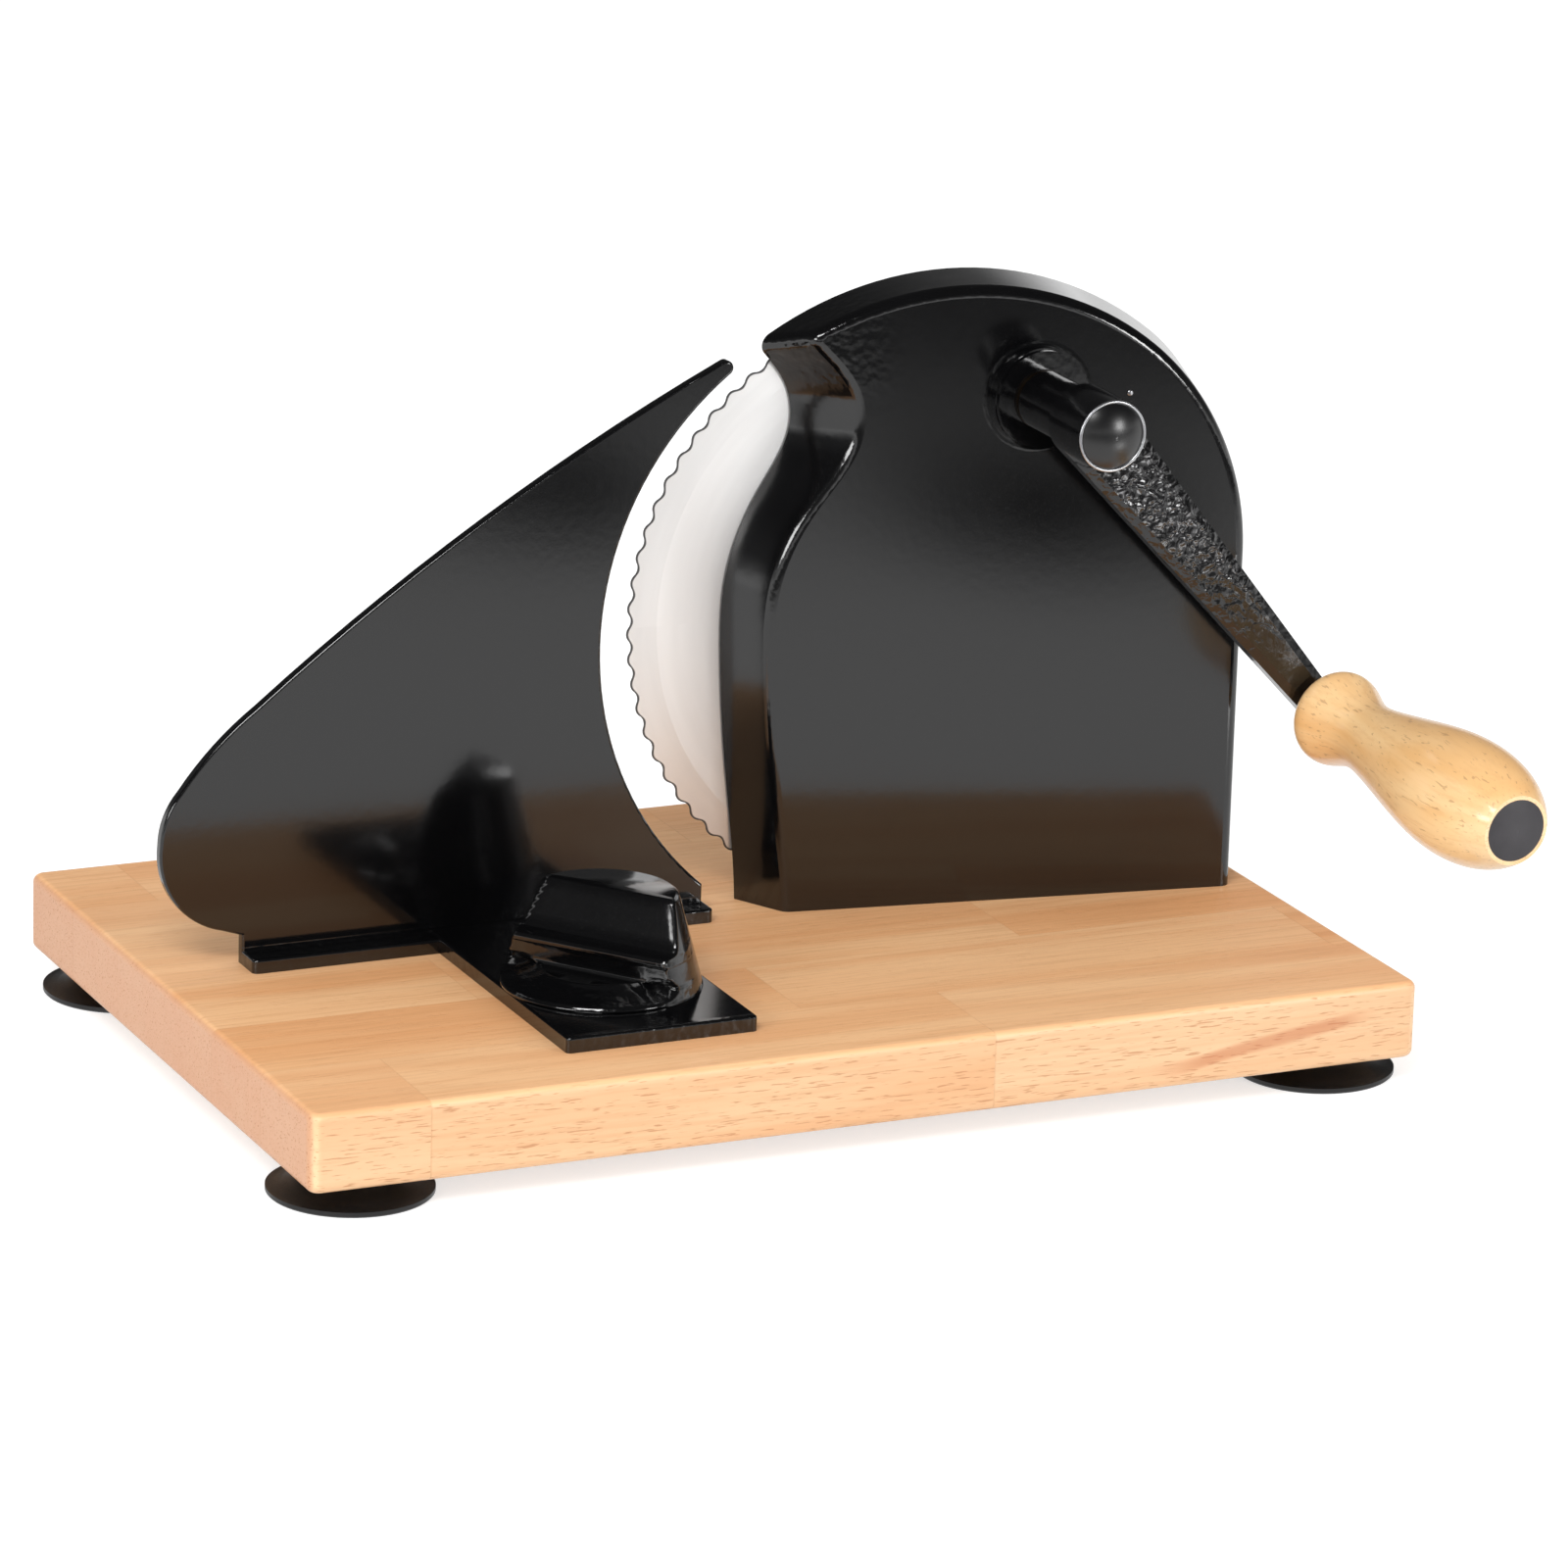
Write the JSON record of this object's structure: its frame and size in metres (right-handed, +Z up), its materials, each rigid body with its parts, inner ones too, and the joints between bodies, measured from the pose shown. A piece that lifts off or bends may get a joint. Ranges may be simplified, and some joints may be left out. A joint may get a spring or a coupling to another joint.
{
  "type": "bread slicer with crank",
  "caption": "Hand-cranked bread slicer: wooden board on suction feet, black arched gear housing, round wavy-edged blade, sliding stop plate with adjuster knob, crank with turned wooden grip.",
  "frame": {"origin": "centre of the whole footprint at the worktop, under the feet", "axes": "+X along the board towards the crank handle's side, +Y from the crank's side to the loaf's side, +Z up"},
  "size_m": [0.4036, 0.2832, 0.2361],
  "materials": {
    "board_wood": "sanded and oiled, fine straight grain along the board",
    "handle_wood": "turned, clear lacquer",
    "foot_rubber": "moulded, smooth",
    "black_enamel": "glossy baked enamel on a casting",
    "hammered_enamel": "glossy enamel over a hammered casting",
    "blade_steel": "stainless, circular brushing",
    "bright_steel": "turned or stamped, zinc plated",
    "sheet_steel": "black powder coat",
    "bronze": "turned, sintered",
    "gear_plastic": "moulded, natural",
    "knob_plastic": "moulded, polished",
    "plug_plastic": "moulded, fine grained"
  },
  "bodies": {
    "base": {"base_board": "board_wood", "suction_foot_fl": "foot_rubber", "suction_foot_fr": "foot_rubber", "suction_foot_bl": "foot_rubber", "suction_foot_br": "foot_rubber", "foot_screws": "bright_steel", "gear_housing": "black_enamel", "housing_screws": "bright_steel", "rear_cover": "sheet_steel", "cover_screws": "bright_steel", "blade_stud": "bright_steel", "blade_washer": "bright_steel", "blade_nut": "bright_steel", "crank_bush": "bronze", "cam_pin": "bright_steel"},
    "crank": {"crank_shaft": "bright_steel", "crank_pinion": "bright_steel", "pinion_pin": "bright_steel", "shaft_clip": "bright_steel", "crank_sleeve": "black_enamel", "crank_arm": "hammered_enamel", "crank_nut": "bright_steel", "hub_cap": "black_enamel", "handle_spindle": "bright_steel", "spindle_nut": "bright_steel"},
    "handle": {"handle_grip": "handle_wood", "handle_bush": "bronze", "handle_end_cap": "plug_plastic"},
    "blade": {"blade_disc": "blade_steel", "blade_gear": "gear_plastic", "gear_bush": "bronze", "blade_screws": "bright_steel"},
    "stop": {"stop_plate": "black_enamel", "guide_key": "bright_steel", "key_screws": "bright_steel"},
    "knob": {"adjusting_knob": "knob_plastic", "knob_insert": "bronze", "knob_spindle": "bright_steel", "spiral_cam": "bright_steel", "slide_washer": "bright_steel", "slide_nut": "bright_steel"}
  },
  "joints": [
    {"name": "crank_turn", "type": "hinge", "parent": "base", "child": "crank", "pos_m": [0.08952, 0.00567, 0.20001], "axis": [0, 1, 0], "continuous": true},
    {"name": "blade_turn", "type": "hinge", "parent": "base", "child": "blade", "pos_m": [0.06208, 0.04082, 0.127], "axis": [0, 1, 0], "continuous": true},
    {"name": "handle_spin", "type": "hinge", "parent": "crank", "child": "handle", "pos_m": [0.17704, -0.02478, 0.09933], "axis": [0.0595, -0.9959, -0.0684], "continuous": true},
    {"name": "stop_slide", "type": "slide", "parent": "base", "child": "stop", "axis": [0, 1, 0], "range_m": [-0.0085, 0.0065]},
    {"name": "knob_turn", "type": "hinge", "parent": "stop", "child": "knob", "pos_m": [-0.07592, -0.03598, 0.0391], "axis": [0, 0, 1], "range_deg": [-153, 117]}
  ],
  "couplings": [
    {"joint": "blade_turn", "follows": "crank_turn", "ratio": -0.48571},
    {"joint": "knob_turn", "follows": "stop_slide", "rad_per_m": 314.16}
  ]
}
